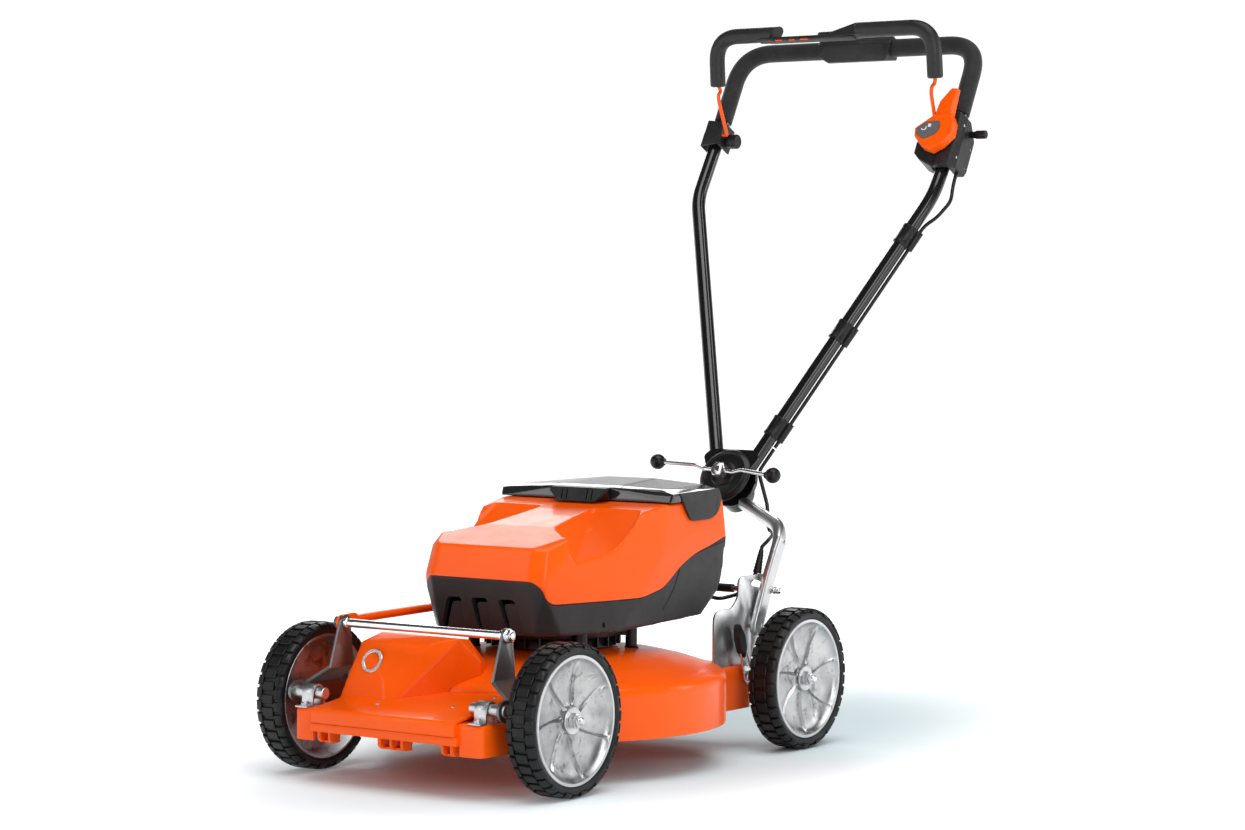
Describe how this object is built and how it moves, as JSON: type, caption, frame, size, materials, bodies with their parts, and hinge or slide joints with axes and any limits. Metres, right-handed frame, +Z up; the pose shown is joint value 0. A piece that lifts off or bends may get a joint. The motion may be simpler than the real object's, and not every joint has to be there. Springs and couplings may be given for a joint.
{
  "type": "push lawn mower",
  "caption": "Walk-behind battery mower: round orange deck, covered battery housing, linked height-adjusting axles and a handle that folds and swivels.",
  "frame": {"origin": "middle of the footprint on the ground plane, halfway between the outermost points across and along", "axes": "+Z up, -Y the mower's front, +X the mower's left side"},
  "size_m": [0.539, 1.268, 1.1203],
  "materials": {
    "tyre": "matt ribbed rubber",
    "cast_aluminium": "cast, bright and slightly stained",
    "chrome": "polished",
    "steel": "zinc plated",
    "orange_paint": "glossy",
    "orange_plastic": "glossy",
    "charcoal_plastic": "satin",
    "black_plastic": "satin",
    "smoked_plastic": "glossy dark",
    "foam": "soft matt foam",
    "black_paint": "semi-gloss powder coat",
    "circuit_board": "lacquered"
  },
  "bodies": {
    "chassis": {"deck_shell": "orange_paint", "front_cover": "orange_paint", "front_axle_strap_left": "steel", "front_axle_strap_right": "steel", "top_cover": "orange_plastic", "lower_housing": "charcoal_plastic", "motor_mount": "black_plastic", "motor": "steel", "battery_left": "black_plastic", "battery_right": "black_plastic", "controller_board": "circuit_board", "handle_bracket_left": "chrome", "handle_bracket_right": "chrome", "bracket_tie_bar": "steel", "cable_boot": "black_plastic"},
    "front_axle": {"front_swing_arm_left": "chrome", "front_swing_arm_right": "chrome", "front_cross_bar": "chrome", "wheel_nut_front_left": "chrome", "wheel_nut_front_right": "chrome"},
    "rear_axle_frame": {"rear_axle": "chrome", "height_lever_grip": "black_plastic", "wheel_nut_rear_left": "chrome", "wheel_nut_rear_right": "chrome"},
    "link_rod": {"height_link_rod": "orange_paint"},
    "wheel_front_left": {"tyre_front_left": "tyre", "rim_front_left": "cast_aluminium"},
    "wheel_front_right": {"tyre_front_right": "tyre", "rim_front_right": "cast_aluminium"},
    "wheel_rear_left": {"tyre_rear_left": "tyre", "rim_rear_left": "cast_aluminium"},
    "wheel_rear_right": {"tyre_rear_right": "tyre", "rim_rear_right": "cast_aluminium"},
    "blade_rotor": {"blade_spindle": "steel", "blade": "steel", "blade_bolt": "steel"},
    "lid": {"battery_lid": "smoked_plastic"},
    "latch": {"lid_latch": "black_plastic"},
    "arch": {"lower_arch": "chrome", "cable_lower": "black_plastic"},
    "lock_left": {"lock_pin_left": "chrome"},
    "lock_right": {"lock_pin_right": "chrome"},
    "handle": {"hub_disc": "black_plastic", "handle_tube_left": "black_paint", "handle_tube_right": "black_paint", "cable_clip_1": "black_plastic", "cable_clip_2": "black_plastic", "cable_clip_3": "black_plastic", "cable_handle": "black_plastic"},
    "clamp_handle": {"clamp_screw": "chrome", "clamp_ball_left": "black_plastic", "clamp_ball_right": "black_plastic"},
    "grip": {"grip_loop": "foam", "control_box": "charcoal_plastic", "grip_clamp": "charcoal_plastic", "handle_console": "charcoal_plastic"},
    "star_knob_body": {"star_knob": "black_plastic"},
    "cap_knob_body": {"cap_knob": "black_plastic"},
    "bail_body": {"bail": "foam"},
    "start_lever_body": {"start_lever": "orange_plastic"}
  },
  "joints": [
    {"name": "front_height", "type": "hinge", "parent": "chassis", "child": "front_axle", "pos_m": [-0.0165, -0.598, 0.122], "axis": [1, 0, 0], "range_deg": [-8, 12]},
    {"name": "rear_height", "type": "hinge", "parent": "chassis", "child": "rear_axle_frame", "pos_m": [-0.0165, 0.025, 0.108], "axis": [1, 0, 0], "range_deg": [-13, 19.5]},
    {"name": "rod_front_eye", "type": "hinge", "parent": "front_axle", "child": "link_rod", "pos_m": [-0.1635, -0.5414, 0.2152], "axis": [1, 0, 0], "range_deg": [-12.1, 8.1]},
    {"name": "wheel_front_left_spin", "type": "hinge", "parent": "front_axle", "child": "wheel_front_left", "pos_m": [0.2025, -0.513, 0.105], "axis": [1, 0, 0], "continuous": true},
    {"name": "wheel_front_right_spin", "type": "hinge", "parent": "front_axle", "child": "wheel_front_right", "pos_m": [-0.2355, -0.513, 0.105], "axis": [1, 0, 0], "continuous": true},
    {"name": "wheel_rear_left_spin", "type": "hinge", "parent": "rear_axle_frame", "child": "wheel_rear_left", "pos_m": [0.2025, 0.078, 0.105], "axis": [1, 0, 0], "continuous": true},
    {"name": "wheel_rear_right_spin", "type": "hinge", "parent": "rear_axle_frame", "child": "wheel_rear_right", "pos_m": [-0.2355, 0.078, 0.105], "axis": [1, 0, 0], "continuous": true},
    {"name": "blade_spin", "type": "hinge", "parent": "chassis", "child": "blade_rotor", "pos_m": [-0.0165, -0.243, 0.082], "axis": [0, 0, 1], "continuous": true},
    {"name": "lid_hinge", "type": "hinge", "parent": "chassis", "child": "lid", "pos_m": [-0.0165, -0.021, 0.384], "axis": [-1, 0, 0], "range_deg": [0, 85]},
    {"name": "latch_hinge", "type": "hinge", "parent": "lid", "child": "latch", "pos_m": [-0.0165, -0.1667, 0.394], "axis": [-1, 0, 0], "range_deg": [0, 25], "stiffness_Nm_per_rad": 0.4, "springref_deg": -11.46},
    {"name": "handle_fold", "type": "hinge", "parent": "chassis", "child": "arch", "pos_m": [-0.0165, 0.053, 0.182], "axis": [1, 0, 0], "range_deg": [-8, 35], "deforming": ["cable_lower"]},
    {"name": "lock_pin_left_slide", "type": "slide", "parent": "arch", "child": "lock_left", "axis": [1, 0, 0], "range_m": [0, 0.008], "stiffness_N_per_m": 600, "springref_m": -0.004},
    {"name": "lock_pin_right_slide", "type": "slide", "parent": "arch", "child": "lock_right", "axis": [-1, 0, 0], "range_m": [0, 0.008], "stiffness_N_per_m": 600, "springref_m": -0.004},
    {"name": "handle_swivel", "type": "hinge", "parent": "arch", "child": "handle", "pos_m": [-0.0165, 0.212, 0.394], "axis": [0, -0.8829, 0.4695], "range_deg": [-20, 20], "deforming": ["cable_lower"]},
    {"name": "clamp_screw_turn", "type": "hinge", "parent": "handle", "child": "clamp_handle", "pos_m": [-0.0165, 0.212, 0.394], "axis": [0, -0.8829, 0.4695], "range_deg": [0, 360]},
    {"name": "grip_fold", "type": "hinge", "parent": "handle", "child": "grip", "pos_m": [-0.0165, 0.52843, 0.93494], "axis": [-1, 0, 0], "range_deg": [0, 90], "deforming": ["cable_handle"]},
    {"name": "star_knob_turn", "type": "hinge", "parent": "grip", "child": "star_knob_body", "pos_m": [0.2535, 0.52843, 0.93494], "axis": [1, 0, 0], "range_deg": [0, 360]},
    {"name": "cap_knob_turn", "type": "hinge", "parent": "grip", "child": "cap_knob_body", "pos_m": [-0.2135, 0.52843, 0.93494], "axis": [1, 0, 0], "range_deg": [0, 360]},
    {"name": "bail_hinge", "type": "hinge", "parent": "grip", "child": "bail_body", "pos_m": [-0.0165, 0.51706, 0.94551], "axis": [-1, 0, 0], "range_deg": [0, 28], "stiffness_Nm_per_rad": 1.5, "springref_deg": -22.92},
    {"name": "start_lever_hinge", "type": "hinge", "parent": "grip", "child": "start_lever_body", "pos_m": [0.1985, 0.47422, 0.91393], "axis": [1, 0, 0], "range_deg": [0, 15], "stiffness_Nm_per_rad": 0.6, "springref_deg": -17.19}
  ],
  "couplings": [
    {"joint": "rear_height", "follows": "front_height", "ratio": 1.6038},
    {"joint": "rod_front_eye", "follows": "front_height", "ratio": -1}
  ]
}
